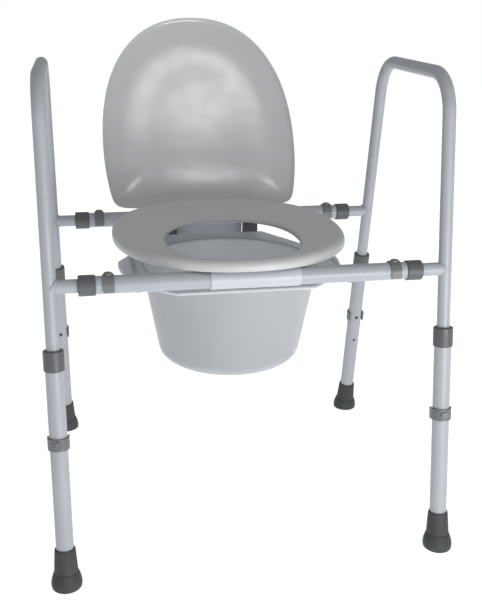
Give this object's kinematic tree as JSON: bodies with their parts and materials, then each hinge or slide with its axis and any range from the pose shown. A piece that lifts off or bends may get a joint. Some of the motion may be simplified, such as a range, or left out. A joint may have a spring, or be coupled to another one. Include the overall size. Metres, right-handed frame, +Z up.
{
  "type": "commode chair",
  "caption": "Free-standing commode chair: tubular side hoops, telescopic cross tubes and legs, lift-up seat and lid, lift-out bucket.",
  "frame": {"origin": "on the floor, at the middle of the whole object's outline seen from above, with the lid open", "axes": "+X to the right as seen from the front, +Y to the back, +Z up"},
  "size_m": [0.604, 0.6809, 0.7514],
  "materials": {
    "painted_tube": "satin white powder coat on steel tube",
    "dark_bush_plastic": "moulded dark grey plastic",
    "grey_clip_plastic": "moulded grey plastic",
    "foot_rubber": "dark grey rubber",
    "zinc_steel": "zinc-plated steel",
    "seat_plastic": "glossy light grey-white polypropylene",
    "bucket_plastic": "satin white polypropylene",
    "saddle_plastic": "satin white plastic"
  },
  "bodies": {
    "seat_frame": {"front_cross_tube": "painted_tube", "rear_cross_tube": "painted_tube", "front_seat_saddle": "saddle_plastic", "rear_seat_saddle": "saddle_plastic", "front_left_cross_bush": "dark_bush_plastic", "rear_left_cross_bush": "dark_bush_plastic", "left_bucket_rail": "zinc_steel", "left_hinge_bracket": "dark_bush_plastic", "front_right_cross_bush": "dark_bush_plastic", "rear_right_cross_bush": "dark_bush_plastic", "right_bucket_rail": "zinc_steel", "right_hinge_bracket": "dark_bush_plastic", "hinge_pins": "zinc_steel", "bracket_screws": "zinc_steel"},
    "left_side_frame": {"left_hoop_tube": "painted_tube", "front_left_stub": "painted_tube", "rear_left_stub": "painted_tube", "left_stub_glides": "dark_bush_plastic", "left_leg_glides": "dark_bush_plastic"},
    "front_left_leg": {"front_left_leg_tube": "painted_tube", "front_left_leg_bush": "dark_bush_plastic", "front_left_foot": "foot_rubber", "front_left_foot_washer": "zinc_steel"},
    "front_left_leg_clip_body": {"front_left_leg_clip": "grey_clip_plastic"},
    "front_left_cross_clip_body": {"front_left_cross_clip": "grey_clip_plastic"},
    "rear_left_leg": {"rear_left_leg_tube": "painted_tube", "rear_left_leg_bush": "dark_bush_plastic", "rear_left_foot": "foot_rubber", "rear_left_foot_washer": "zinc_steel"},
    "rear_left_leg_clip_body": {"rear_left_leg_clip": "grey_clip_plastic"},
    "rear_left_cross_clip_body": {"rear_left_cross_clip": "grey_clip_plastic"},
    "right_side_frame": {"right_hoop_tube": "painted_tube", "front_right_stub": "painted_tube", "rear_right_stub": "painted_tube", "right_stub_glides": "dark_bush_plastic", "right_leg_glides": "dark_bush_plastic"},
    "front_right_leg": {"front_right_leg_tube": "painted_tube", "front_right_leg_bush": "dark_bush_plastic", "front_right_foot": "foot_rubber", "front_right_foot_washer": "zinc_steel"},
    "front_right_leg_clip_body": {"front_right_leg_clip": "grey_clip_plastic"},
    "front_right_cross_clip_body": {"front_right_cross_clip": "grey_clip_plastic"},
    "rear_right_leg": {"rear_right_leg_tube": "painted_tube", "rear_right_leg_bush": "dark_bush_plastic", "rear_right_foot": "foot_rubber", "rear_right_foot_washer": "zinc_steel"},
    "rear_right_leg_clip_body": {"rear_right_leg_clip": "grey_clip_plastic"},
    "rear_right_cross_clip_body": {"rear_right_cross_clip": "grey_clip_plastic"},
    "seat_assembly": {"seat": "seat_plastic", "seat_buffers": "foot_rubber"},
    "lid_assembly": {"lid": "seat_plastic"},
    "bucket_assembly": {"bucket": "bucket_plastic"}
  },
  "joints": [
    {"name": "left_width_slide", "type": "slide", "parent": "seat_frame", "child": "left_side_frame", "axis": [-1, 0, 0], "range_m": [-0.025, 0.05]},
    {"name": "front_left_leg_slide", "type": "slide", "parent": "left_side_frame", "child": "front_left_leg", "axis": [0, -0.153, -0.9882], "range_m": [-0.05, 0.075]},
    {"name": "front_left_leg_clip_pull", "type": "slide", "parent": "front_left_leg", "child": "front_left_leg_clip_body", "axis": [0, -0.9882, 0.153], "range_m": [0, 0.03]},
    {"name": "front_left_cross_clip_pull", "type": "slide", "parent": "seat_frame", "child": "front_left_cross_clip_body", "axis": [0, 0, 1], "range_m": [0, 0.03]},
    {"name": "rear_left_leg_slide", "type": "slide", "parent": "left_side_frame", "child": "rear_left_leg", "axis": [0, 0.153, -0.9882], "range_m": [-0.05, 0.075]},
    {"name": "rear_left_leg_clip_pull", "type": "slide", "parent": "rear_left_leg", "child": "rear_left_leg_clip_body", "axis": [0, 0.9882, 0.153], "range_m": [0, 0.03]},
    {"name": "rear_left_cross_clip_pull", "type": "slide", "parent": "seat_frame", "child": "rear_left_cross_clip_body", "axis": [0, 0, 1], "range_m": [0, 0.03]},
    {"name": "right_width_slide", "type": "slide", "parent": "seat_frame", "child": "right_side_frame", "axis": [1, 0, 0], "range_m": [-0.025, 0.05]},
    {"name": "front_right_leg_slide", "type": "slide", "parent": "right_side_frame", "child": "front_right_leg", "axis": [0, -0.153, -0.9882], "range_m": [-0.05, 0.075]},
    {"name": "front_right_leg_clip_pull", "type": "slide", "parent": "front_right_leg", "child": "front_right_leg_clip_body", "axis": [0, -0.9882, 0.153], "range_m": [0, 0.03]},
    {"name": "front_right_cross_clip_pull", "type": "slide", "parent": "seat_frame", "child": "front_right_cross_clip_body", "axis": [0, 0, 1], "range_m": [0, 0.03]},
    {"name": "rear_right_leg_slide", "type": "slide", "parent": "right_side_frame", "child": "rear_right_leg", "axis": [0, 0.153, -0.9882], "range_m": [-0.05, 0.075]},
    {"name": "rear_right_leg_clip_pull", "type": "slide", "parent": "rear_right_leg", "child": "rear_right_leg_clip_body", "axis": [0, 0.9882, 0.153], "range_m": [0, 0.03]},
    {"name": "rear_right_cross_clip_pull", "type": "slide", "parent": "seat_frame", "child": "rear_right_cross_clip_body", "axis": [0, 0, 1], "range_m": [0, 0.03]},
    {"name": "seat_hinge", "type": "hinge", "parent": "seat_frame", "child": "seat_assembly", "pos_m": [-0.009, 0.1276, 0.429], "axis": [-1, 0, 0], "range_deg": [0, 110]},
    {"name": "lid_hinge", "type": "hinge", "parent": "seat_frame", "child": "lid_assembly", "pos_m": [-0.009, 0.1276, 0.429], "axis": [-1, 0, 0], "range_deg": [-119, 0]},
    {"name": "bucket_lift", "type": "slide", "parent": "seat_frame", "child": "bucket_assembly", "axis": [0, 0, 1], "range_m": [0, 0.036]}
  ]
}
